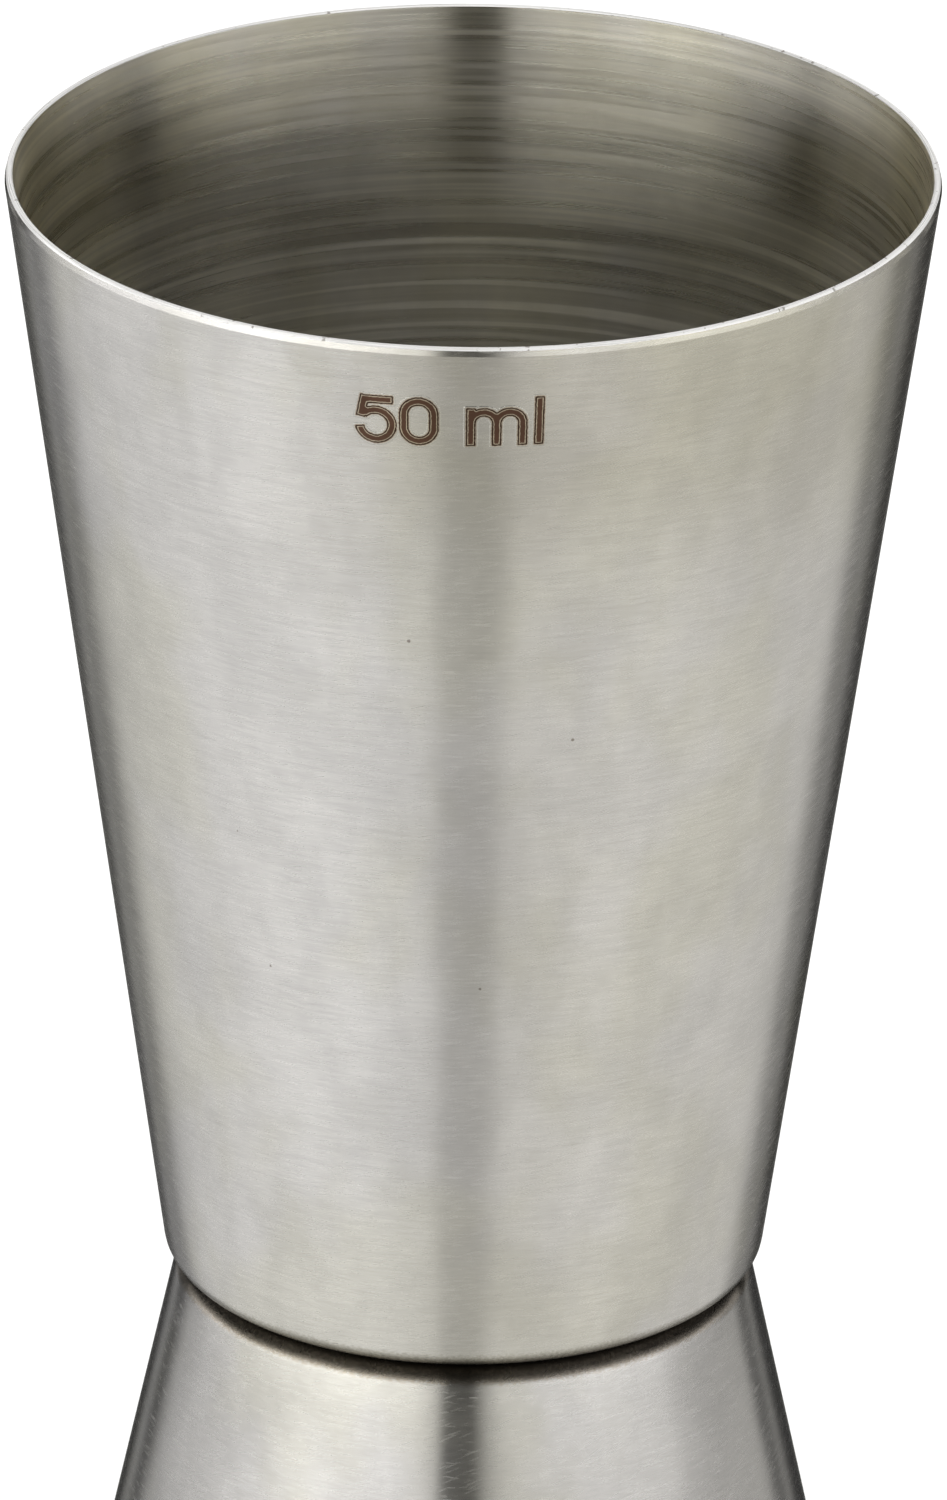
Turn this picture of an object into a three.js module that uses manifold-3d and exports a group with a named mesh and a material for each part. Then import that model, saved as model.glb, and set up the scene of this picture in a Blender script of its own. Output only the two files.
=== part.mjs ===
// A double-ended bar jigger: a 50 ml cup standing mouth up on an upside-down 25 ml cup.
// Both cups are deep-drawn stainless steel, joined base to base by three spot welds.
// Millimetres, +Z up. The origin is the centre of the small cup's rim, which it stands on.

import * as THREE from 'three';
import { mergeVertices } from 'three/addons/utils/BufferGeometryUtils.js';
import Module from 'manifold-3d';

const wasm = await Module();
wasm.setup();

// ---- Driving dimensions ----

// Outside of the large cup. Filled to the brim it holds 50 ml.
const LARGE_CUP_HEIGHT = 53.7;
const LARGE_RIM_RADIUS = 21.3;
const LARGE_BASE_RADIUS = 13.82;
const LARGE_BASE_CORNER = 1.2;

// Outside of the small cup. Filled to the brim it holds 25 ml.
const SMALL_CUP_HEIGHT = 30.5;
const SMALL_RIM_RADIUS = 19.9;
const SMALL_BASE_RADIUS = 13.26;
const SMALL_BASE_CORNER = 1.3;

// The drawn sheet: the wall is thinned by drawing, the base keeps its full thickness.
const WALL_THICKNESS = 0.4;
const BASE_THICKNESS = 0.5;
const RIM_EDGE_RADIUS = 0.08;

// Spot welds: flat nuggets that reach equally far into both bases.
const WELD_COUNT = 3;
const WELD_RADIUS = 1.7;
const WELD_HEIGHT = 0.5;
const WELD_CIRCLE_RADIUS = 7.5;
const WELD_POCKET_GAP = 0.3;

// Smoothness of the round shapes. Both counts are multiples of 4, so the full width is exact.
const CUP_SEGMENTS = 72;
const WELD_SEGMENTS = 24;
const ARC_SEGMENTS = 4;

// ---- Solids ----

// Points of the arc that rounds the corner between two straight runs of an outline.
function roundedCorner( before, corner, after, radius ) {

	const toBefore = before.clone().sub( corner ).normalize();
	const toAfter = after.clone().sub( corner ).normalize();
	const halfAngle = Math.acos( toBefore.dot( toAfter ) ) / 2;

	const toCentre = toBefore.clone().add( toAfter ).setLength( radius / Math.sin( halfAngle ) );
	const centre = corner.clone().add( toCentre );
	const tangentReach = radius / Math.tan( halfAngle );
	const arcStart = corner.clone().addScaledVector( toBefore, tangentReach ).sub( centre );
	const arcEnd = corner.clone().addScaledVector( toAfter, tangentReach ).sub( centre );
	const clockwise = toBefore.cross( toAfter ) > 0;

	const arc = new THREE.EllipseCurve(
		centre.x, centre.y, radius, radius, arcStart.angle(), arcEnd.angle(), clockwise );
	return arc.getPoints( ARC_SEGMENTS );

}

// Half section of a cup that stands on its base, from the axis under the base to the axis inside.
// x is the distance from the axis and y is the height.
function cupSection( { height, rimRadius, baseRadius, baseCorner } ) {

	const slope = ( rimRadius - baseRadius ) / height;
	const wallAcross = WALL_THICKNESS * Math.hypot( 1, slope );
	const floorRadius = baseRadius + slope * BASE_THICKNESS - wallAcross;

	const start = new THREE.Vector2( 0, 0 );
	const outerBase = new THREE.Vector2( baseRadius, 0 );
	const outerRim = new THREE.Vector2( rimRadius, height );
	const innerRim = new THREE.Vector2( rimRadius - wallAcross, height );
	const innerFloor = new THREE.Vector2( floorRadius, BASE_THICKNESS );
	const end = new THREE.Vector2( 0, BASE_THICKNESS );

	return [
		start,
		...roundedCorner( start, outerBase, outerRim, baseCorner ),
		...roundedCorner( outerBase, outerRim, innerRim, RIM_EDGE_RADIUS ),
		...roundedCorner( outerRim, innerRim, innerFloor, RIM_EDGE_RADIUS ),
		...roundedCorner( innerRim, innerFloor, end, baseCorner - WALL_THICKNESS ),
		end,
	];

}

function standUpright( geometry ) {

	return geometry.rotateX( Math.PI / 2 );

}

// Turns a closed geometry into a solid that can be cut. Triangles that a lathe pinches to a line
// on its axis are dropped.
function toSolid( geometry ) {

	const bare = geometry.clone();
	bare.deleteAttribute( 'normal' );
	bare.deleteAttribute( 'uv' );
	const merged = mergeVertices( bare );
	const index = merged.index.array;
	const triangles = [];
	for ( let i = 0; i < index.length; i += 3 ) {

		const [ a, b, c ] = index.slice( i, i + 3 );
		if ( a !== b && b !== c && c !== a ) triangles.push( a, b, c );

	}

	return new wasm.Manifold( new wasm.Mesh( {
		numProp: 3,
		vertProperties: merged.attributes.position.array,
		triVerts: new Uint32Array( triangles ),
	} ) );

}

function toGeometry( solid ) {

	const mesh = solid.getMesh();
	const geometry = new THREE.BufferGeometry();
	geometry.setAttribute( 'position', new THREE.BufferAttribute( mesh.vertProperties, 3 ) );
	geometry.setIndex( new THREE.BufferAttribute( mesh.triVerts, 1 ) );
	geometry.computeVertexNormals();
	return geometry;

}

// The places of the welds on the base, evenly round the axis and the same on both sides of the
// YZ plane, so that they also fit the small cup when it is turned over about Y.
const weldPlaces = Array.from( { length: WELD_COUNT }, ( _, i ) => {

	const angle = Math.PI / 2 + i * 2 * Math.PI / WELD_COUNT;
	return new THREE.Vector2( Math.cos( angle ), Math.sin( angle ) ).multiplyScalar( WELD_CIRCLE_RADIUS );

} );

// A drawn cup that stands on its base, with a shallow pocket under it for each weld nugget.
function cupGeometry( size ) {

	const shell = standUpright( new THREE.LatheGeometry( cupSection( size ), CUP_SEGMENTS ) );
	const pocketRadius = WELD_RADIUS + WELD_POCKET_GAP;
	const pocket = standUpright(
		new THREE.CylinderGeometry( pocketRadius, pocketRadius, WELD_HEIGHT, WELD_SEGMENTS ) );

	const cup = weldPlaces.reduce( ( solid, place ) => {

		return solid.subtract( toSolid( pocket.clone().translate( place.x, place.y, 0 ) ) );

	}, toSolid( shell ) );
	return toGeometry( cup );

}

// ---- Assembly ----

const brushedSteel = new THREE.MeshStandardMaterial( {
	color: 0xc9c7c2,
	roughness: 0.35,
	metalness: 1,
} );

const weldSteel = new THREE.MeshStandardMaterial( {
	color: 0x8c8780,
	roughness: 0.55,
	metalness: 1,
} );

const jigger = new THREE.Group();

const largeCup = new THREE.Mesh( cupGeometry( {
	height: LARGE_CUP_HEIGHT,
	rimRadius: LARGE_RIM_RADIUS,
	baseRadius: LARGE_BASE_RADIUS,
	baseCorner: LARGE_BASE_CORNER,
} ), brushedSteel.clone() );
largeCup.name = 'large_cup';
largeCup.position.z = SMALL_CUP_HEIGHT;
jigger.add( largeCup );

// The small cup is turned over, so that its base meets the large cup's base.
const smallCup = new THREE.Mesh( cupGeometry( {
	height: SMALL_CUP_HEIGHT,
	rimRadius: SMALL_RIM_RADIUS,
	baseRadius: SMALL_BASE_RADIUS,
	baseCorner: SMALL_BASE_CORNER,
} ), brushedSteel.clone() );
smallCup.name = 'small_cup';
smallCup.rotation.y = Math.PI;
smallCup.position.z = SMALL_CUP_HEIGHT;
jigger.add( smallCup );

weldPlaces.forEach( ( place, i ) => {

	const nugget = new THREE.Mesh(
		standUpright( new THREE.CylinderGeometry( WELD_RADIUS, WELD_RADIUS, WELD_HEIGHT, WELD_SEGMENTS ) ),
		weldSteel.clone() );
	nugget.name = `spot_weld_${ i + 1 }`;
	nugget.position.set( place.x, place.y, SMALL_CUP_HEIGHT );
	jigger.add( nugget );

} );

export default jigger;
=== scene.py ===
"""The looks of a double-ended bar jigger: a 50 ml cup welded base to base to a 25 ml cup.

Both drawn cups are rebuilt as finely revolved shells with a brushed outside, a turned inside, a
trimmed lip and the dimples of three spot welds. Each cup carries its capacity as a brown laser mark.
Metres, +Z up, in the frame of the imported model.
"""

import math

import bpy
import numpy as np
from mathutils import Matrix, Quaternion, Vector


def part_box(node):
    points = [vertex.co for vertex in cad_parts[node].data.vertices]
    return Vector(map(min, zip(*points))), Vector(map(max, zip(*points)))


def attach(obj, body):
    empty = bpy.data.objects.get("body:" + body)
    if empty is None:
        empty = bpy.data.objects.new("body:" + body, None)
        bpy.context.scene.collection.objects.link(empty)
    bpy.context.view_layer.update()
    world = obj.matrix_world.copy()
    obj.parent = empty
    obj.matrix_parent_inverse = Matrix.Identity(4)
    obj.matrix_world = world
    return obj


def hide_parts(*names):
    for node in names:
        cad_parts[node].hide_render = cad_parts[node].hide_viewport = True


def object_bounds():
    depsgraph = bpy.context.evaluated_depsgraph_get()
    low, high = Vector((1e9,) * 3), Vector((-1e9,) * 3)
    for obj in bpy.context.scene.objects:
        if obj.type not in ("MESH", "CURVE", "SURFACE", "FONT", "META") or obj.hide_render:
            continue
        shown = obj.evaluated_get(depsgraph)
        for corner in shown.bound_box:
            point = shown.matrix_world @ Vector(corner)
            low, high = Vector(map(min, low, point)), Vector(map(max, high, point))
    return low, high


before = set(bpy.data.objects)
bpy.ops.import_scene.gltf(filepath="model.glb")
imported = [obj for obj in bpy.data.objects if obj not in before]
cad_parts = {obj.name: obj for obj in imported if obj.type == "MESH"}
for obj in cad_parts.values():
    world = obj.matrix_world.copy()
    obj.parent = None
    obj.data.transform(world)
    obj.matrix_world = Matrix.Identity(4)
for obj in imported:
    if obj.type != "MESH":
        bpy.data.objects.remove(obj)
cad_low, cad_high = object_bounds()

MM = 0.001

# ---- The drawn cups, outside sizes ----

LARGE_CUP = {"rim_radius": 21.3 * MM, "base_radius": 13.82 * MM, "base_corner": 1.2 * MM}
SMALL_CUP = {"rim_radius": 19.9 * MM, "base_radius": 13.26 * MM, "base_corner": 1.3 * MM}
WALL_THICKNESS = 0.4 * MM
BASE_THICKNESS = 0.5 * MM

# The trimmed lip, from outside to inside: a narrow belt, a faint slope, a flat and a broken edge.
# The slopes are given as (across, down).
BELT_HEIGHT = 0.26 * MM
BELT_DEPTH = 0.095 * MM
OUTER_SLOPE = (0.05 * MM, 0.11 * MM)
INNER_SLOPE = (0.06 * MM, 0.05 * MM)
LIP_FILLET = 0.015 * MM

# The surfaces of a cup, which are also the places of their materials on its mesh.
WALL, LIP, INSIDE = 0, 1, 2

# ---- Fineness of the revolved meshes ----

SEGMENTS = 288
ARC_STEPS = 8
FLOOR_ROW_SPACING = 0.45 * MM
WALL_ROW_SPACING = 1.5 * MM
TOLERANCE = 0.01 * MM

# ---- Marks of the spot welds on the cup floors ----

DIMPLE_RADIUS = 2.1 * MM
DIMPLE_DEPTH = 0.07 * MM

# ---- Painted shade in the joint, brown with polishing residue on the small cup ----

# Painted shade in the groove where the bases meet: its reach along each cup from its base, in millimetres,
# and its tint by the share of that. The grey one is painted shade only; the brown one is painted shade and
# polishing residue.
JOINT_SHADE_REACH = 1.15
GREY_JOINT_SHADE = [
    (0.0, (0.12, 0.118, 0.11, 1)), (0.26, (0.24, 0.235, 0.22, 1)), (0.45, (0.52, 0.51, 0.48, 1)),
    (0.62, (0.75, 0.74, 0.71, 1)), (0.8, (1, 1, 1, 1)),
]
BROWN_JOINT_SHADE_AND_RESIDUE = [
    (0.0, (0.09, 0.08, 0.07, 1)), (0.26, (0.24, 0.21, 0.18, 1)), (0.45, (0.64, 0.58, 0.5, 1)),
    (0.62, (0.86, 0.79, 0.7, 1)), (0.82, (1, 1, 1, 1)),
]

# ---- Capacity marks, in millimetres on the unrolled wall ----

CAP_HEIGHT = 2.44
X_HEIGHT = 1.93
STROKE = 0.42
GLYPH_WIDTH = 1.76
FIVE_WIDTH = 1.92
M_WIDTH = 2.73
LETTER_GAP = 0.1
EXTRA_GAP_AFTER_M = 0.22
WORD_GAP = 1.22
MARK_BELOW_RIM = 2.49
MARK_LEFT_OF_CENTRE = 0.99
MARK_TILT = 0.015
MARK_CELL = 0.03
MARK_HALO = 0.1
MARK_PROUD = 0.006 * MM
MARK_THICKNESS = 0.03 * MM

# ---- Camera (the lens in millimetres) and floor ----

CAMERA_DISTANCE = 0.75
CAMERA_ELEVATION = math.radians(21.68)
CAMERA_AIM_BELOW_RIM = 28.62 * MM
CAMERA_ROLL = 0.0095
CAMERA_LENS = 396.9
CAMERA_CLIP_START = 0.01

FLOOR_SIZE = 3.0
FLOOR_COLOUR = (0.93, 0.93, 0.92, 1)

# ---- Light bounces ----

MAX_BOUNCES = 16
GLOSSY_BOUNCES = 14


def add_object(name, data):
    made = bpy.data.objects.new(name, data)
    bpy.context.scene.collection.objects.link(made)
    return made


# ---- Outline of a cup ----


def rounded_corner(before, corner, after, radius):
    """Points of the arc that rounds the corner between two straight runs of an outline."""
    to_before = (before - corner).normalized()
    to_after = (after - corner).normalized()
    half_angle = to_before.angle(to_after) / 2
    centre = corner + (to_before + to_after).normalized() * (radius / math.sin(half_angle))
    reach = radius / math.tan(half_angle)
    start = corner + to_before * reach - centre
    end = corner + to_after * reach - centre
    sweep = math.atan2(start.x * end.y - start.y * end.x, start.dot(end))
    points = []
    for step in range(ARC_STEPS + 1):
        c, s = math.cos(sweep * step / ARC_STEPS), math.sin(sweep * step / ARC_STEPS)
        points.append(centre + Vector((start.x * c - start.y * s, start.x * s + start.y * c)))
    return points


def cup_outline(cup, height):
    """Half section of a cup that stands on its base, as (radius, height) rows, and each row's region.

    It runs from the axis under the base, up the outside, over the lip and down to the axis inside.
    A region is the surface between a row and the next: WALL, LIP or INSIDE.
    """
    slope = (cup["rim_radius"] - cup["base_radius"]) / height
    wall_across = WALL_THICKNESS * math.hypot(1, slope)
    floor_radius = cup["base_radius"] + slope * BASE_THICKNESS - wall_across
    start = Vector((0, 0))
    outer_base = Vector((cup["base_radius"], 0))
    inner_radius = cup["rim_radius"] - wall_across
    belt_top = Vector((cup["rim_radius"] - slope * OUTER_SLOPE[1] - BELT_DEPTH, height - OUTER_SLOPE[1]))
    belt_foot_level = belt_top.y - BELT_HEIGHT
    belt_foot = Vector((cup["rim_radius"] - slope * (height - belt_foot_level), belt_foot_level))
    flat_start = Vector((belt_top.x - OUTER_SLOPE[0], height))
    flat_end = Vector((inner_radius + INNER_SLOPE[0], height))
    inner_edge = Vector((inner_radius - slope * INNER_SLOPE[1], height - INNER_SLOPE[1]))
    inner_floor = Vector((floor_radius, BASE_THICKNESS))
    end = Vector((0, BASE_THICKNESS))

    bends = [
        ([start], WALL),
        (rounded_corner(start, outer_base, belt_foot, cup["base_corner"]), WALL),
        (rounded_corner(outer_base, belt_foot, belt_top, LIP_FILLET), WALL),
        (rounded_corner(belt_foot, belt_top, flat_start, LIP_FILLET), LIP),
        (rounded_corner(belt_top, flat_start, flat_end, LIP_FILLET), LIP),
        (rounded_corner(flat_start, flat_end, inner_edge, LIP_FILLET), LIP),
        (rounded_corner(flat_end, inner_edge, inner_floor, LIP_FILLET), INSIDE),
        (rounded_corner(inner_edge, inner_floor, end, cup["base_corner"] - WALL_THICKNESS), INSIDE),
        ([end], INSIDE),
    ]

    rows, regions = [], []
    for (points, region), (next_points, _) in zip(bends, bends[1:]):
        rows += points
        run = next_points[0] - points[-1]
        spacing = FLOOR_ROW_SPACING if abs(run.x) > abs(run.y) else WALL_ROW_SPACING
        steps = max(1, math.ceil(run.length / spacing))
        regions += [region] * (len(points) - 1 + steps)
        rows += [points[-1] + run * step / steps for step in range(1, steps)]
    rows.append(end)
    return rows, regions


# ---- Cups as meshes ----


def weld_names():
    return sorted(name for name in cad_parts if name.startswith("spot_weld"))


def weld_places():
    """Centres of the spot welds on the plane where the two bases meet."""
    places = []
    for name in weld_names():
        low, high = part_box(name)
        places.append(((low + high) / 2).xy)
    return places


def distance_to_welds(points):
    """Distance from each point to the nearest weld's axis."""
    gaps = [np.hypot(points[:, 0] - p.x, points[:, 1] - p.y) for p in weld_places()]
    return np.min(gaps, axis=0)


def store(mesh, name, values):
    """Keeps one number for each point of a mesh, for its material to read."""
    attribute = mesh.attributes.new(name, "FLOAT", "POINT")
    attribute.data.foreach_set("value", values.astype(np.float32))


def revolved_cup(name, cup, node, mouth_up):
    """A cup's shell as one closed mesh, with weld dimples in its floor."""
    low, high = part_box(node)
    height = high.z - low.z
    rows, regions = cup_outline(cup, height)
    angles = np.linspace(0, 2 * math.pi, SEGMENTS, endpoint=False)
    radius = np.array([p.x for p in rows[1:-1]])
    level = np.array([p.y for p in rows[1:-1]])

    ring_x = np.outer(radius, np.sin(angles))
    ring_y = np.outer(radius, -np.cos(angles))
    ring_z = np.repeat(level[:, None], SEGMENTS, axis=1)
    points = np.stack([ring_x.ravel(), ring_y.ravel(), ring_z.ravel()], axis=1)
    points = np.vstack([[0, 0, 0], points, [0, 0, BASE_THICKNESS]])

    above_base = points[:, 2] / MM
    below_rim = (height - points[:, 2]) / MM
    near = distance_to_welds(points)
    on_floor = np.abs(points[:, 2] - BASE_THICKNESS) < TOLERANCE
    dip = np.clip(1 - (near / DIMPLE_RADIUS) ** 2, 0, 1) ** 2
    points[:, 2] -= on_floor * dip * DIMPLE_DEPTH
    if mouth_up:
        points[:, 2] += low.z
    else:
        points[:, 2] = high.z - points[:, 2]

    def ring(row, column):
        return 1 + row * SEGMENTS + column % SEGMENTS

    faces, materials = [], []
    last_row, last_point = len(rows) - 3, len(points) - 1
    for column in range(SEGMENTS):
        faces.append((0, ring(0, column + 1), ring(0, column)))
        faces.append((last_point, ring(last_row, column), ring(last_row, column + 1)))
        materials += [regions[0], regions[-1]]
        for row in range(last_row):
            faces.append((
                ring(row, column), ring(row, column + 1), ring(row + 1, column + 1), ring(row + 1, column)))
            materials.append(regions[row + 1])
    if not mouth_up:
        faces = [tuple(reversed(f)) for f in faces]

    mesh = bpy.data.meshes.new(name)
    mesh.from_pydata(points.tolist(), [], faces)
    mesh.polygons.foreach_set("material_index", materials)
    mesh.shade_smooth()
    store(mesh, "weld_distance", near / DIMPLE_RADIUS)
    store(mesh, "joint_distance", above_base)
    store(mesh, "below_rim", below_rim)
    return add_object(name, mesh)


# ---- Capacity marks ----


def bar_distance(u, v, a, b):
    """Distance outside (positive) or inside (negative) a flat-ended stroke from a to b."""
    along = np.array(b, float) - np.array(a, float)
    length = np.hypot(*along)
    t = ((u - a[0]) * along[0] + (v - a[1]) * along[1]) / length
    across = np.abs((u - a[0]) * along[1] - (v - a[1]) * along[0]) / length
    return np.maximum(across - STROKE / 2, np.maximum(-t, t - length))


def arc_distance(u, v, centre, radius, first, last):
    """The same for a stroke along an arc from angle first, anticlockwise, to angle last in degrees."""
    du, dv = u - centre[0], v - centre[1]
    across = np.abs(np.hypot(du, dv) - radius) - STROKE / 2
    middle = math.radians((first + last) / 2)
    turn = np.abs(np.angle(np.exp(1j * (np.arctan2(dv, du) - middle))))
    past_end = (turn - math.radians(last - first) / 2) * radius
    return np.maximum(across, past_end)


def glyph_zero(u, v):
    radius = (GLYPH_WIDTH - STROKE) / 2
    low, high = GLYPH_WIDTH / 2, CAP_HEIGHT - GLYPH_WIDTH / 2
    past_straights = v - np.clip(v, low, high)
    return np.abs(np.hypot(u - GLYPH_WIDTH / 2, past_straights) - radius) - STROKE / 2


def glyph_five(u, v):
    half = STROKE / 2
    bowl_radius = 0.74
    bowl_centre = (half + bowl_radius + 0.01, half + bowl_radius)
    bowl_first, bowl_last = -172, 140
    flag_start, flag_end = (0.3, CAP_HEIGHT - half), (FIVE_WIDTH - 0.16, CAP_HEIGHT - half)
    stem_foot, stem_top = (0.27, 1.32), (0.5, CAP_HEIGHT)
    return np.minimum.reduce([
        bar_distance(u, v, flag_start, flag_end),
        bar_distance(u, v, stem_foot, stem_top),
        arc_distance(u, v, bowl_centre, bowl_radius, bowl_first, bowl_last),
    ])


def glyph_two(u, v):
    half = STROKE / 2
    radius = 0.66
    centre = (GLYPH_WIDTH / 2, CAP_HEIGHT - half - radius)
    arc_first, arc_last = -32, 165
    bend = math.radians(arc_first)
    bend_point = (centre[0] + radius * math.cos(bend), centre[1] + radius * math.sin(bend))
    diagonal_foot = (0.2, half - 0.05)
    base_start, base_end = (0.04, half), (GLYPH_WIDTH - 0.04, half)
    return np.minimum.reduce([
        arc_distance(u, v, centre, radius, arc_first, arc_last),
        bar_distance(u, v, diagonal_foot, bend_point),
        bar_distance(u, v, base_start, base_end),
    ])


def glyph_m(u, v):
    half = STROKE / 2
    radius = (M_WIDTH - STROKE) / 4
    spring = X_HEIGHT - half - radius
    parts = [bar_distance(u, v, (half, 0), (half, X_HEIGHT))]
    for middle in (half + radius, half + 3 * radius):
        arch = np.abs(np.hypot(u - middle, np.maximum(v - spring, 0)) - radius) - half
        parts.append(np.maximum(arch, -v))
    return np.minimum.reduce(parts)


def glyph_l(u, v):
    return bar_distance(u, v, (STROKE / 2, 0), (STROKE / 2, CAP_HEIGHT))


GLYPHS = {
    "5": (glyph_five, FIVE_WIDTH),
    "0": (glyph_zero, GLYPH_WIDTH),
    "2": (glyph_two, GLYPH_WIDTH),
    "m": (glyph_m, M_WIDTH),
    "l": (glyph_l, STROKE),
}


def text_distance(text, u, v):
    """Distance to the nearest stroke of a line of text that starts at u = 0, and the line's length."""
    nearest = np.full(u.shape, np.inf)
    pen = 0.0
    for letter in text:
        if letter == " ":
            pen += WORD_GAP - LETTER_GAP
            continue
        glyph, width = GLYPHS[letter]
        nearest = np.minimum(nearest, glyph(u - pen, v))
        pen += width + LETTER_GAP + (EXTRA_GAP_AFTER_M if letter == "m" else 0)
    return nearest, pen - LETTER_GAP


def distance_to_outline(u, v, near):
    """Distance to the outline of the joined strokes, negative inside them."""
    outline = []
    for axis in (0, 1):
        pairs = [np.moveaxis(a, axis, 0) for a in (u, v, near)]
        (u0, v0, n0), (u1, v1, n1) = [a[:-1] for a in pairs], [a[1:] for a in pairs]
        crossed = (n0 < 0) != (n1 < 0)
        share = (n0 / np.where(crossed, n0 - n1, 1))[crossed]
        outline.append(np.stack([
            u0[crossed] + share * (u1 - u0)[crossed], v0[crossed] + share * (v1 - v0)[crossed]], axis=1))
    outline = np.vstack(outline)
    closest = [
        np.hypot(row_u[:, None] - outline[:, 0], row_v[:, None] - outline[:, 1]).min(axis=1)
        for row_u, row_v in zip(u, v)]
    return np.where(near < 0, -1.0, 1.0) * np.array(closest)


def capacity_mark(name, text, cup, node, mouth_up):
    """A thin brown mark that follows the wall, with the distance to its strokes kept at each point."""
    low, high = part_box(node)
    height = high.z - low.z
    slope = (cup["rim_radius"] - cup["base_radius"]) / height
    slant = math.hypot(1, slope)
    length = text_distance(text, np.zeros(1), np.zeros(1))[1]
    columns = np.arange(-MARK_HALO - MARK_CELL, length + MARK_HALO + 2 * MARK_CELL, MARK_CELL)
    rows = np.arange(-MARK_HALO - MARK_CELL, CAP_HEIGHT + MARK_HALO + 2 * MARK_CELL, MARK_CELL)
    u, v = np.meshgrid(columns, rows)
    near = distance_to_outline(u, v, text_distance(text, u, v)[0])

    tilted = v + MARK_TILT * (u - length / 2)
    down_wall = (MARK_BELOW_RIM + CAP_HEIGHT - tilted) * MM
    middle_down = (MARK_BELOW_RIM + CAP_HEIGHT / 2) * MM
    middle_radius = cup["rim_radius"] - middle_down * slope / slant
    angle = (u - length / 2 - MARK_LEFT_OF_CENTRE) * MM / middle_radius
    radius = cup["rim_radius"] - down_wall * slope / slant
    level = height - down_wall / slant

    def skin(lift):
        r = radius + lift / slant
        z = level - lift * slope / slant
        x, y = r * np.sin(angle), -r * np.cos(angle)
        if mouth_up:
            return np.stack([x, y, low.z + z], axis=-1).reshape(-1, 3)
        return np.stack([-x, y, high.z - z], axis=-1).reshape(-1, 3)

    cell_near = np.minimum.reduce([near[:-1, :-1], near[1:, :-1], near[:-1, 1:], near[1:, 1:]])
    kept_rows, kept_columns = np.nonzero(cell_near < MARK_HALO)
    wide = len(columns)
    corner = kept_rows * wide + kept_columns
    faces = np.stack([corner, corner + 1, corner + wide + 1, corner + wide], axis=1)

    used, faces = np.unique(faces, return_inverse=True)
    faces = faces.reshape(-1, 4)
    mesh = bpy.data.meshes.new(name)
    mesh.from_pydata(skin(MARK_PROUD)[used].tolist(), [], faces.tolist())
    mesh.shade_smooth()
    store(mesh, "stroke_distance", near.ravel()[used])
    store(mesh, "below_rim", ((height - level) / MM).ravel()[used])
    piece = add_object(name, mesh)
    sheet = piece.modifiers.new("thickness", "SOLIDIFY")
    sheet.thickness = MARK_THICKNESS
    sheet.offset = -1
    return piece


# ---- Numbers of the materials ----

WHITE = (1, 1, 1, 1)

# Limits between which nearly all, and the middle, of a noise lies.
MOST_OF_NOISE = (0.3, 0.7)
MIDDLE_OF_NOISE = (0.35, 0.65)

# Grooves, as (features round the axis, features per metre across the grooves).
DASHES = (14, 9000)
STREAKS = (7, 5000)
BANDS = (3, 1500)
CROSSING_SCRATCHES = (13, 9500)
CROSSING_LEAN = -0.3
LIP_RINGS = (5, 16000)
LIP_NICKS = (60, 3000)
FINE_RINGS = (1.5, 5000)
TURNING_SCRATCHES = (0.7, 3000)
COARSE_RINGS = (0.5, 620)

# Depth of the relief of each.
DASH_DEPTH = 0.0006 * MM
STREAK_DEPTH = 0.001 * MM
BAND_DEPTH = 0.003 * MM
LIP_RING_DEPTH = 0.001 * MM
LIP_NICK_DEPTH = 0.003 * MM
FINE_RING_DEPTH = 0.001 * MM
TURNING_SCRATCH_DEPTH = 0.002 * MM
COARSE_RING_DEPTH = 0.01 * MM
WELD_DEPTH = 0.02 * MM

# Patches and grain, as features per metre along each axis.
OUTSIDE_FILM = (95, 95, 60)
OUTSIDE_HAZE = (260, 260, 170)
PIT_CLUSTERS = (150, 150, 60)
INSIDE_FILM = (110, 110, 70)
INSIDE_HAZE = (330, 330, 200)
# Speckle along the edge of the painted shade in the joint.
JOINT_SHADE_SPECKLE = (7000, 7000, 7000)
MARK_GRAIN = (9000, 9000, 9000)
WELD_GRAIN = (2500, 2500, 2500)

# Brushed wall: tints, and the greys that grooves and patches multiply them by, as (noise, grey).
CLEAN_STEEL = (0.715, 0.697, 0.671, 1)
FILMED_STEEL = (0.72, 0.7, 0.633, 1)
FILMED_WHERE = (0.42, 0.6)
# Greys that each cup's wall colour is multiplied by. The small cup's darker grey is painted shade: both
# cups are the same steel.
LARGE_CUP_PAINTED_SHADE = 1.0
SMALL_CUP_PAINTED_SHADE = 0.76
DASH_GREYS = [(0.28, 0.93), (0.72, 1.0)]
STREAK_GREYS = [(0.3, 0.93), (0.7, 1.0)]
HAZE_GREYS = [(0.35, 0.9), (0.65, 1.0)]
FILM_GREYS = [(0.36, 1.0), (0.64, 0.94)]
SPECKLE_SHIFT = 0.09

# A stain on the side towards -X that fades out down the wall, in millimetres below the rim.
STAIN = (0.87, 0.86, 0.81, 1)
STAIN_FADES = (6.0, 15.0)
STAIN_WANDERS = 5.0
STAIN_EDGE = -12 * MM

# Pits: how many per metre, how large as a share of their spacing, and where they lie.
PIT_COLOUR = (0.3, 0.27, 0.24, 1)
PIT_SCALE = 420.0
PIT_SIZE = 0.035
PITTED_WHERE = (0.5, 0.64)

# Gloss of the brushed wall. Flecks are duller, and smear reflections less.
WALL_ROUGHNESS = (0.21, 0.235)
DASH_FLECKS = (0.59, 0.74)
CROSSING_FLECKS = (0.54, 0.74)
CROSSING_SHARE = 0.6
FLECK_ROUGHNESS = 0.14
FLECK_ISOTROPY = 0.5

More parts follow.
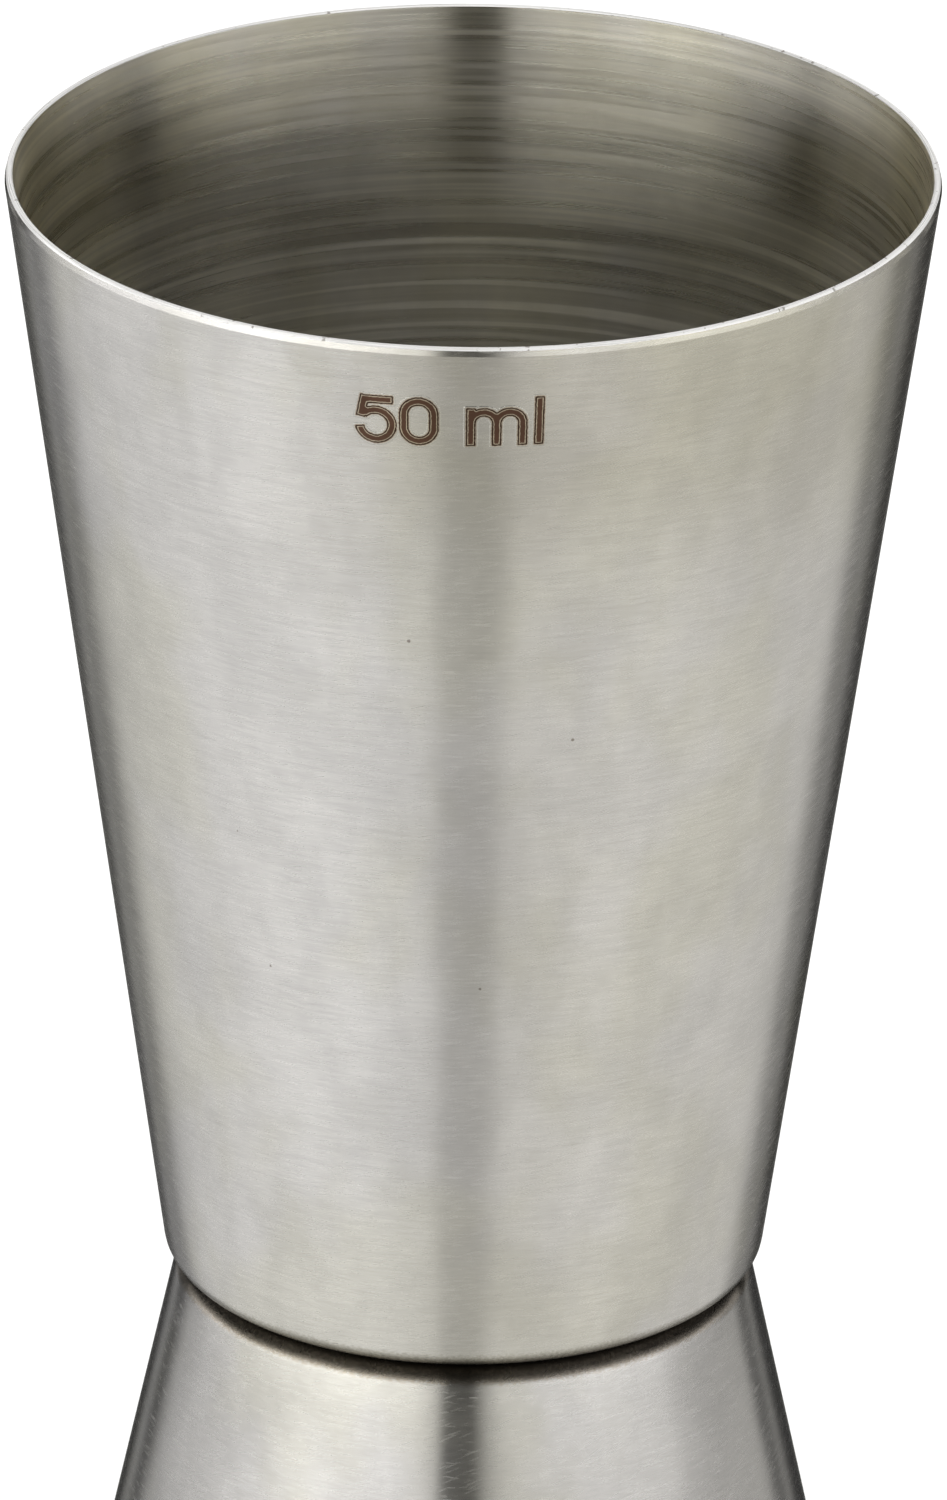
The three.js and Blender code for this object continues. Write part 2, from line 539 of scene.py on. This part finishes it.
# Trimmed lip.
LIP_TINTS = [(0.3, (0.78, 0.77, 0.75, 1)), (0.6, (0.92, 0.91, 0.89, 1))]
LIP_NICK_COLOUR = (0.35, 0.33, 0.3, 1)
NICKED_WHERE = (0.66, 0.7)
LIP_ROUGHNESS = (0.24, 0.34)
LIP_ANISOTROPY = 0.5
LIP_METALLIC = 0.35

# Turned inside.
INSIDE_STEEL = (1.0, 0.95, 0.775, 1)
INSIDE_FILMED_STEEL = (1.0, 0.955, 0.835, 1)
INSIDE_FILMED_WHERE = (0.4, 0.6)
DEPTH_WANDERS = 1.0
# The inside's colour is painted darker from the rim down to this depth, in millimetres: painted shade in
# the hollow of the cup.
DEEP_INSIDE = 10.0
PAINTED_DEPTH_SHADE_GREYS = [(0.1, 1.0), (0.35, 0.95), (0.6, 0.92), (0.9, 0.86)]
FINE_RING_GREYS = [(0.3, 0.9), (0.7, 1.0)]
COARSE_RING_GREYS = [(0.36, 0.72), (0.58, 1.0)]
TURNING_SCRATCH_GREYS = [(0.42, 0.76), (0.66, 1.0)]
INSIDE_HAZE_GREYS = [(0.35, 0.92), (0.65, 1.0)]
INSIDE_ROUGHNESS = (0.23, 0.32)
FINE_RING_ROUGHNESS = (-0.03, 0.05)

# Its scratches are rougher, and its metal duller, from one depth below the rim to another.
SCRATCHED_WHERE = (0.48, 0.68)
SCRATCH_DEPTHS = (2.0, 8.0)
SCRATCH_ROUGHNESS = (0.14, 0.38)
DULL_DEPTHS = (5.0, 12.0)
DULL_METALLIC = (1.0, 0.9)

# Heat tints round a spot weld, by the distance from its axis as a share of the dimple's radius.
HEAT_TINTS = [
    (0.0, (0.7, 0.66, 0.6, 1)), (0.28, (0.82, 0.74, 0.6, 1)), (0.4, (0.62, 0.5, 0.36, 1)),
    (0.5, (0.5, 0.5, 0.58, 1)), (0.62, (0.92, 0.85, 0.72, 1)), (0.8, WHITE),
]

# Tints of a capacity mark, by the distance from a stroke's edge in millimetres, negative inside it.
MARK_TINTS = [
    (-STROKE / 2, (0.2, 0.115, 0.085, 1)), (-0.108, (0.2, 0.115, 0.085, 1)),
    (-0.09, (1.0, 0.88, 0.72, 1)), (-0.074, (1.0, 0.88, 0.72, 1)),
    (-0.056, (0.09, 0.055, 0.04, 1)), (-0.005, (0.1, 0.06, 0.045, 1)),
    (0.02, (0.85, 0.76, 0.66, 1)), (0.07, WHITE),
]
MARK_RAGGED = 0.015
MARK_EDGE = (-0.02, 0.03)
MARK_ROUGHNESS = 0.45
MARK_ANISOTROPY = 0.6

# Weld nuggets.
WELD_TINTS = [(0.3, (0.3, 0.26, 0.22, 1)), (0.7, (0.52, 0.5, 0.46, 1))]
WELD_ROUGHNESS = (0.45, 0.65)


# ---- Material nodes ----

# Colour sockets of a Mix node, which share their names with its other sockets.
MIX_A, MIX_B, MIX_RESULT = 6, 7, 2


def grey(value):
    return (value, value, value, 1)


class Net:
    """Short calls for making and linking nodes in one node tree."""

    def __init__(self, tree):
        self.tree = tree
        self.tree.nodes.clear()

    def node(self, kind, inputs=None, **settings):
        made = self.tree.nodes.new(kind)
        for key, value in settings.items():
            setattr(made, key, value)
        for key, value in (inputs or {}).items():
            self.feed(made.inputs[key], value)
        return made

    def feed(self, socket, value):
        if isinstance(value, bpy.types.NodeSocket):
            self.tree.links.new(value, socket)
        else:
            socket.default_value = value

    def math(self, operation, a, b=0.0):
        return self.node("ShaderNodeMath", {0: a, 1: b}, operation=operation).outputs[0]

    def add(self, total, *others):
        for other in others:
            total = self.math("ADD", total, other)
        return total

    def times(self, a, b):
        return self.math("MULTIPLY", a, b)

    def range(self, value, low, high, to_low=0.0, to_high=1.0, smooth=False):
        made = self.node(
            "ShaderNodeMapRange",
            {"Value": value, "From Min": low, "From Max": high, "To Min": to_low, "To Max": to_high},
            interpolation_type="SMOOTHSTEP" if smooth else "LINEAR",
        )
        return made.outputs["Result"]

    def noise(self, vector, detail=2.0, roughness=0.5):
        made = self.node(
            "ShaderNodeTexNoise",
            {"Vector": vector, "Scale": 1.0, "Detail": detail, "Roughness": roughness},
        )
        return made.outputs["Fac"]

    def mix(self, factor, a, b, blend="MIX"):
        made = self.node("ShaderNodeMix", data_type="RGBA", blend_type=blend)
        self.feed(made.inputs["Factor"], factor)
        self.feed(made.inputs[MIX_A], a)
        self.feed(made.inputs[MIX_B], b)
        return made.outputs[MIX_RESULT]

    def tint(self, colour, by):
        """A colour multiplied by another colour or by a grey."""
        return self.mix(1.0, colour, by, blend="MULTIPLY")

    def ramp(self, value, stops, smooth=True):
        """A colour ramp from (position, grey or colour) stops."""
        made = self.node("ShaderNodeValToRGB", {"Fac": value})
        made.color_ramp.interpolation = "EASE" if smooth else "LINEAR"
        elements = made.color_ramp.elements
        while len(elements) > 1:
            elements.remove(elements[-1])
        for index, (position, colour) in enumerate(stops):
            element = elements[0] if index == 0 else elements.new(position)
            element.position = position
            element.color = colour if isinstance(colour, tuple) else grey(colour)
        return made.outputs["Color"]

    def attribute(self, name):
        return self.node("ShaderNodeAttribute", attribute_name=name).outputs["Fac"]

    def position(self):
        """Where a point lies in its own object."""
        return self.node("ShaderNodeTexCoord").outputs["Object"]


def new_material(name):
    material = bpy.data.materials.new(name)
    material.use_nodes = True
    return material, Net(material.node_tree)


def ring_coordinates(net, round_axis, across, lean=0.0):
    """A seam-free vector that changes slowly round the axis and quickly from ring to ring.

    With a lean, the rings rise from one side of the cup to the other."""
    x, y, z = net.node("ShaderNodeSeparateXYZ", {0: net.position()}).outputs
    radius = net.math("SQRT", net.add(net.times(x, x), net.times(y, y)))
    radius = net.math("MAXIMUM", radius, TOLERANCE)
    level = net.add(z, radius, net.times(x, lean))
    return net.node("ShaderNodeCombineXYZ", {
        0: net.times(net.math("DIVIDE", x, radius), round_axis),
        1: net.times(net.math("DIVIDE", y, radius), round_axis),
        2: net.times(level, across),
    }).outputs[0]


def blotches(net, scale, detail=3.0, roughness=0.6):
    """Soft patches, with scale as patches per metre along each axis."""
    at = net.node("ShaderNodeVectorMath", {0: net.position(), 1: scale}, operation="MULTIPLY")
    return net.noise(at.outputs[0], detail=detail, roughness=roughness)


def steel_shader(net, colour, roughness, anisotropic, height):
    """Steel whose grooves run round the axis, so that reflections smear along the wall."""
    bump = net.node("ShaderNodeBump", {"Strength": 1.0, "Distance": 1.0, "Height": height})
    tangent = net.node("ShaderNodeTangent", direction_type="RADIAL", axis="Z")
    shader = net.node("ShaderNodeBsdfPrincipled", {
        "Base Color": colour,
        "Metallic": 1.0,
        "Roughness": roughness,
        "Anisotropic": anisotropic,
        "Anisotropic Rotation": 0.25,
        "Normal": bump.outputs[0],
        "Tangent": tangent.outputs[0],
    })
    net.node("ShaderNodeOutputMaterial", {"Surface": shader.outputs[0]})
    return shader


# ---- Materials ----


def brushed_look(net):
    """Colour, roughness, anisotropy and groove height of the brushed outside wall."""
    dashes = net.noise(ring_coordinates(net, *DASHES))
    streaks = net.noise(ring_coordinates(net, *STREAKS))
    bands = net.noise(ring_coordinates(net, *BANDS))
    crossing = net.noise(ring_coordinates(net, *CROSSING_SCRATCHES, CROSSING_LEAN), detail=1.0)
    film = blotches(net, OUTSIDE_FILM)
    haze = blotches(net, OUTSIDE_HAZE)

    steel = net.mix(net.range(film, *FILMED_WHERE, smooth=True), CLEAN_STEEL, FILMED_STEEL)
    steel = net.tint(steel, net.ramp(dashes, DASH_GREYS, smooth=False))
    steel = net.tint(steel, net.ramp(streaks, STREAK_GREYS, smooth=False))
    steel = net.tint(steel, net.ramp(haze, HAZE_GREYS))
    steel = net.tint(steel, net.ramp(film, FILM_GREYS))

    position = net.position()
    x = net.node("ShaderNodeSeparateXYZ", {0: position}).outputs[0]
    wander = net.range(film, *MOST_OF_NOISE, -STAIN_WANDERS, STAIN_WANDERS)
    down = net.add(net.attribute("below_rim"), wander)
    high_up = net.range(down, *STAIN_FADES, 1.0, 0.0, smooth=True)
    stain = net.times(high_up, net.range(x, STAIN_EDGE, 0.0, smooth=True))
    steel = net.mix(stain, steel, net.tint(steel, STAIN))
    pits = net.node("ShaderNodeTexVoronoi", {"Vector": position, "Scale": PIT_SCALE})
    clusters = net.range(blotches(net, PIT_CLUSTERS), *PITTED_WHERE)
    is_pit = net.math("LESS_THAN", pits.outputs["Distance"], net.times(clusters, PIT_SIZE))
    colour = net.mix(is_pit, steel, PIT_COLOUR)

    dash_flecks = net.range(dashes, *DASH_FLECKS)
    crossing_flecks = net.range(crossing, *CROSSING_FLECKS, 0.0, CROSSING_SHARE)
    flecks = net.math("MAXIMUM", dash_flecks, crossing_flecks)
    roughness = net.range(streaks, *MIDDLE_OF_NOISE, *WALL_ROUGHNESS)
    roughness = net.add(roughness, net.times(flecks, FLECK_ROUGHNESS))
    anisotropy = net.math("SUBTRACT", 1.0, net.times(flecks, FLECK_ISOTROPY))
    height = net.add(
        net.times(dashes, DASH_DEPTH), net.times(streaks, STREAK_DEPTH), net.times(bands, BAND_DEPTH))
    return colour, roughness, anisotropy, height


def brushed_steel(name, painted_shade_tone, joint_shade_and_residue):
    """A cup's brushed wall, multiplied by a painted shade tone, with painted shade in the groove where the
    two bases meet, brown with polishing residue on the small cup.
    """
    material, net = new_material(name)
    colour, roughness, anisotropy, height = brushed_look(net)
    speckle = blotches(net, JOINT_SHADE_SPECKLE, detail=1.0)
    speckle = net.range(speckle, *MOST_OF_NOISE, -SPECKLE_SHIFT, SPECKLE_SHIFT)
    above_base = net.add(net.attribute("joint_distance"), speckle)
    # Painted shade in the groove where the bases meet, brown with polishing residue on the small cup.
    joint_shade_and_residue_tint = net.ramp(net.range(above_base, 0.0, JOINT_SHADE_REACH), joint_shade_and_residue, smooth=False)
    # The small cup's wall is painted darker here: painted shade.
    colour = net.tint(net.tint(colour, grey(painted_shade_tone)), joint_shade_and_residue_tint)
    steel_shader(net, colour, roughness, anisotropy, height)
    return material


def trimmed_lip():
    """The trimmed and deburred lip is finely matt, and so bright from every side."""
    material, net = new_material("trimmed_lip")
    rings = net.noise(ring_coordinates(net, *LIP_RINGS), detail=1.0)
    nicks = net.noise(ring_coordinates(net, *LIP_NICKS))
    colour = net.ramp(rings, LIP_TINTS)
    colour = net.mix(net.range(nicks, *NICKED_WHERE), colour, LIP_NICK_COLOUR)
    roughness = net.range(rings, *MOST_OF_NOISE, *LIP_ROUGHNESS)
    height = net.add(net.times(rings, LIP_RING_DEPTH), net.times(nicks, LIP_NICK_DEPTH))
    shader = steel_shader(net, colour, roughness, LIP_ANISOTROPY, height)
    shader.inputs["Metallic"].default_value = LIP_METALLIC
    return material


def turned_inside():
    """The inside keeps the coarser rings and scratches of its turning, duller and warmer, and is painted
    darker with depth as painted shade.
    """
    material, net = new_material("turned_inside")
    fine = net.noise(ring_coordinates(net, *FINE_RINGS))
    scratches = net.noise(ring_coordinates(net, *TURNING_SCRATCHES), detail=1.0)
    rings = net.noise(ring_coordinates(net, *COARSE_RINGS), detail=3.0, roughness=0.65)
    film = blotches(net, INSIDE_FILM)
    haze = blotches(net, INSIDE_HAZE)
    wander = net.range(rings, *MOST_OF_NOISE, -DEPTH_WANDERS, DEPTH_WANDERS)
    depth = net.add(net.attribute("below_rim"), wander)

    is_filmed = net.range(film, *INSIDE_FILMED_WHERE, smooth=True)
    colour = net.mix(is_filmed, INSIDE_STEEL, INSIDE_FILMED_STEEL)
    # Painted shade: the inside darkens with depth below the rim.
    colour = net.tint(colour, net.ramp(net.range(depth, 0.0, DEEP_INSIDE), PAINTED_DEPTH_SHADE_GREYS))
    colour = net.tint(colour, net.ramp(fine, FINE_RING_GREYS, smooth=False))
    colour = net.tint(colour, net.ramp(rings, COARSE_RING_GREYS))
    colour = net.tint(colour, net.ramp(scratches, TURNING_SCRATCH_GREYS))
    colour = net.tint(colour, net.ramp(haze, INSIDE_HAZE_GREYS))
    colour = net.tint(colour, net.ramp(net.attribute("weld_distance"), HEAT_TINTS))

    scratched = net.times(
        net.range(scratches, *SCRATCHED_WHERE), net.range(depth, *SCRATCH_DEPTHS, *SCRATCH_ROUGHNESS))
    roughness = net.add(
        net.range(rings, *MIDDLE_OF_NOISE, *INSIDE_ROUGHNESS),
        scratched,
        net.range(fine, *MIDDLE_OF_NOISE, *FINE_RING_ROUGHNESS))
    height = net.add(
        net.times(fine, FINE_RING_DEPTH),
        net.times(scratches, TURNING_SCRATCH_DEPTH),
        net.times(rings, COARSE_RING_DEPTH))
    shader = steel_shader(net, colour, roughness, 1.0, height)
    net.feed(shader.inputs["Metallic"], net.range(depth, *DULL_DEPTHS, *DULL_METALLIC))
    return material


def etched_mark():
    """A laser mark: brown strokes with a pale line just inside a dark edge, and a faint halo."""
    material, net = new_material("etched_mark")
    steel, roughness, anisotropy, height = brushed_look(net)
    grain = blotches(net, MARK_GRAIN, detail=2.0, roughness=0.5)
    ragged = net.range(grain, *MOST_OF_NOISE, -MARK_RAGGED, MARK_RAGGED)
    stroke = net.add(net.attribute("stroke_distance"), ragged)
    reach = STROKE / 2 + MARK_HALO
    stops = [((distance + STROKE / 2) / reach, tint) for distance, tint in MARK_TINTS]
    colour = net.tint(steel, net.ramp(net.range(stroke, -STROKE / 2, MARK_HALO), stops))

    outside = net.range(stroke, *MARK_EDGE)
    rough_mark = net.range(outside, 0.0, 1.0, MARK_ROUGHNESS, 0.0)
    even_mark = net.range(outside, 0.0, 1.0, MARK_ANISOTROPY, 1.0)
    roughness = net.math("MAXIMUM", roughness, rough_mark)
    anisotropy = net.math("MINIMUM", anisotropy, even_mark)
    steel_shader(net, colour, roughness, anisotropy, height)
    return material


def weld_metal():
    """Fused steel: dull, uneven and darkened by heat."""
    material, net = new_material("weld_metal")
    grain = blotches(net, WELD_GRAIN, roughness=0.5)
    colour = net.ramp(grain, WELD_TINTS)
    roughness = net.range(grain, *MOST_OF_NOISE, *WELD_ROUGHNESS)
    steel_shader(net, colour, roughness, 0.0, net.times(grain, WELD_DEPTH))
    return material


# ---- Studio ----

# Brightness of what the steel reflects, by direction round the jigger in degrees, 0 towards -Y and
# positive towards +X. The table top lies below the horizon. A bright window band stands just above
# it, left and right of a dark gap in front, with dark flags behind.
TABLE = [
    (-180, 0.3), (-170, 0.25), (-168, 0.02), (-157, 0.02), (-154, 0.25), (-149, 0.55), (-146, 0.1),
    (-139, 0.14), (-134, 0.56), (-129, 0.74), (-110, 0.81), (-60, 0.98), (-40, 0.97), (-24, 0.86),
    (-13, 0.82), (-8, 0.65), (-5, 0.63), (6, 0.61), (10, 0.67), (14, 0.79), (30, 0.81), (50, 0.89),
    (90, 0.78), (120, 0.77), (129, 0.86), (134, 0.14), (141, 0.16), (145, 0.55), (150, 0.03),
    (168, 0.02), (170, 0.25), (180, 0.3),
]
WINDOWS = [
    (-180, 0.05), (-168, 0.04), (-162, 0.04), (-150, 0.1), (-136, 0.1), (-122, 0.66), (-110, 1.2),
    (-90, 1.45), (-60, 1.48), (-40, 1.38), (-18, 1.14), (-10, 0.83), (-6, 0.05), (4, 0.03), (9, 0.54),
    (14, 0.84), (18, 0.92), (50, 1.13), (80, 1.16), (110, 0.6), (124, 0.3), (132, 0.4), (137, 0.02),
    (142, 0.02), (147, 0.3), (151, 0.22), (155, 0.03), (166, 0.03), (170, 0.05), (180, 0.05),
]
TABLE_WARMTH = (1, 0.99, 0.95, 1)
WARMTH_RANGE = (-0.6, 0.3)
BETWEEN = 0.28
OVERHEAD = 0.9
BEHIND = 0.35
ABOVE_WINDOWS = 1.02
WINDOW_GAIN = 2.9
STRENGTH = 2.2
ROOM_STRENGTH = 1.3

# Where one part of the surroundings gives way to the next, as sines of the elevation. The windows
# end a little lower to the right of the gap.
BETWEEN_STARTS = (-0.24, -0.12)
WINDOWS_START = (0.0, 0.05)
UPPER_WINDOWS_START = (0.1, 0.14)
WINDOWS_END = (0.23, 0.33)
LOWER_BY = 0.05
LOWER_RANGE = (math.radians(-3), math.radians(12))
BEHIND_STARTS = (0.24, 0.32)
BEHIND_ENDS = (0.44, 0.52)
OVERHEAD_STARTS = (0.88, 0.94)

# The windows' upper part fades out between these directions, and the wall behind starts at this one.
UPPER_WINDOWS_FADE = (math.radians(55), math.radians(90))
BEHIND_FROM = math.radians(160)


def by_direction(net, turn, stops):
    """Brightness round the horizon, as a share of the studio's strength."""
    shares = [((azimuth + 180) / 360, value / STRENGTH) for azimuth, value in stops]
    return net.ramp(turn, shares, smooth=False)


def make_studio():
    """A white room for the camera and the floor, with windows and flags for the steel to reflect."""
    world = bpy.data.worlds.new("studio")
    world.use_nodes = True
    bpy.context.scene.world = world
    net = Net(world.node_tree)
    direction = net.node("ShaderNodeTexCoord").outputs["Generated"]
    x, y, z = net.node("ShaderNodeSeparateXYZ", {0: direction}).outputs
    azimuth = net.math("ARCTAN2", x, net.times(y, -1.0))
    from_front = net.math("ABSOLUTE", azimuth)
    turn = net.range(azimuth, -math.pi, math.pi)

    table = by_direction(net, turn, TABLE)
    warmth = net.mix(net.range(azimuth, *WARMTH_RANGE, smooth=True), WHITE, TABLE_WARMTH)
    table = net.tint(table, warmth)
    windows = net.tint(by_direction(net, turn, WINDOWS), grey(WINDOW_GAIN))
    between = net.tint(windows, grey(BETWEEN))
    upper_windows = net.tint(windows, net.range(from_front, *UPPER_WINDOWS_FADE, ABOVE_WINDOWS, 0.0))
    is_behind = net.math("GREATER_THAN", from_front, BEHIND_FROM)
    behind = net.mix(is_behind, grey(0.0), grey(BEHIND / STRENGTH))
    lowered = net.add(z, net.range(azimuth, *LOWER_RANGE, 0.0, LOWER_BY))

    seen = net.mix(net.range(z, *BETWEEN_STARTS, smooth=True), table, between)
    seen = net.mix(net.range(z, *WINDOWS_START, smooth=True), seen, windows)
    seen = net.mix(net.range(z, *UPPER_WINDOWS_START, smooth=True), seen, upper_windows)
    seen = net.mix(net.range(lowered, *WINDOWS_END, smooth=True), seen, grey(0.0))
    seen = net.mix(net.range(z, *BEHIND_STARTS, smooth=True), seen, behind)
    seen = net.mix(net.range(z, *BEHIND_ENDS, smooth=True), seen, grey(0.0))
    seen = net.mix(net.range(z, *OVERHEAD_STARTS, smooth=True), seen, grey(OVERHEAD / STRENGTH))

    seen_in_steel = net.node("ShaderNodeBackground", {"Color": seen, "Strength": STRENGTH})
    room = net.node("ShaderNodeBackground", {"Color": WHITE, "Strength": ROOM_STRENGTH})
    is_glossy = net.node("ShaderNodeLightPath").outputs["Is Glossy Ray"]
    both = net.node("ShaderNodeMixShader", {0: is_glossy, 1: room.outputs[0], 2: seen_in_steel.outputs[0]})
    net.node("ShaderNodeOutputWorld", {"Surface": both.outputs[0]})


def make_floor():
    """A plain pale table top. The steel reflects the studio instead of it."""
    half = FLOOR_SIZE / 2
    mesh = bpy.data.meshes.new("floor")
    mesh.from_pydata(
        [(-half, -half, 0), (half, -half, 0), (half, half, 0), (-half, half, 0)], [], [(0, 1, 2, 3)])
    material, net = new_material("pale_floor")
    shader = net.node("ShaderNodeBsdfDiffuse", {"Color": FLOOR_COLOUR})
    net.node("ShaderNodeOutputMaterial", {"Surface": shader.outputs[0]})
    mesh.materials.append(material)
    floor = add_object("floor", mesh)
    floor.visible_glossy = False


def make_camera():
    """Looks down at the large cup from the front, with the bottom of the small cup out of the picture."""
    rim = Vector((0, 0, cad_high.z))
    back = Vector((0, -math.cos(CAMERA_ELEVATION), math.sin(CAMERA_ELEVATION)))
    place = rim + back * CAMERA_DISTANCE
    aim = rim - Vector((0, 0, CAMERA_AIM_BELOW_RIM))
    data = bpy.data.cameras.new("camera")
    data.lens = CAMERA_LENS
    data.clip_start = CAMERA_CLIP_START
    camera = add_object("camera", data)
    camera.rotation_mode = "QUATERNION"
    camera.location = place
    lean = Quaternion(back, CAMERA_ROLL)
    camera.rotation_quaternion = lean @ (aim - place).to_track_quat("-Z", "Y")
    bpy.context.scene.camera = camera


# ---- The object ----


def add_piece(piece, slot, *materials):
    """Gives a piece its materials and fixes it to the jigger's one body."""
    for material in materials:
        piece.data.materials.append(material)
    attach(piece, "root")


def make_jigger():
    """Each cup's shell and mark in place of its plain CAD cup. The CAD weld nuggets are kept."""
    lip_look = trimmed_lip()
    inside_look = turned_inside()
    mark_look = etched_mark()
    # Each cup with its painted shade tone and the painted shade of its joint, brown with polishing residue
    # on the small cup.
    for node, cup, mouth_up, text, painted_shade_tone, joint_shade_and_residue in [
        ("large_cup", LARGE_CUP, True, "50 ml", LARGE_CUP_PAINTED_SHADE, GREY_JOINT_SHADE),
        ("small_cup", SMALL_CUP, False, "25 ml", SMALL_CUP_PAINTED_SHADE, BROWN_JOINT_SHADE_AND_RESIDUE),
    ]:
        wall_look = brushed_steel(f"{node}_wall", painted_shade_tone, joint_shade_and_residue)
        shell = revolved_cup(f"{node}_shell", cup, node, mouth_up)
        add_piece(shell, "brushed_steel", wall_look, lip_look, inside_look)
        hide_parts(node)
        mark = capacity_mark(f"{node}_mark", text, cup, node, mouth_up)
        add_piece(mark, "etched_mark", mark_look)

    weld_look = weld_metal()
    for name in weld_names():
        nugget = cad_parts[name]
        nugget.data.materials.clear()
        nugget.data.materials.append(weld_look)


make_camera()
make_studio()
make_floor()
make_jigger()

scene = bpy.context.scene
scene.view_settings.view_transform = "Standard"
scene.cycles.max_bounces = MAX_BOUNCES
scene.cycles.glossy_bounces = GLOSSY_BOUNCES
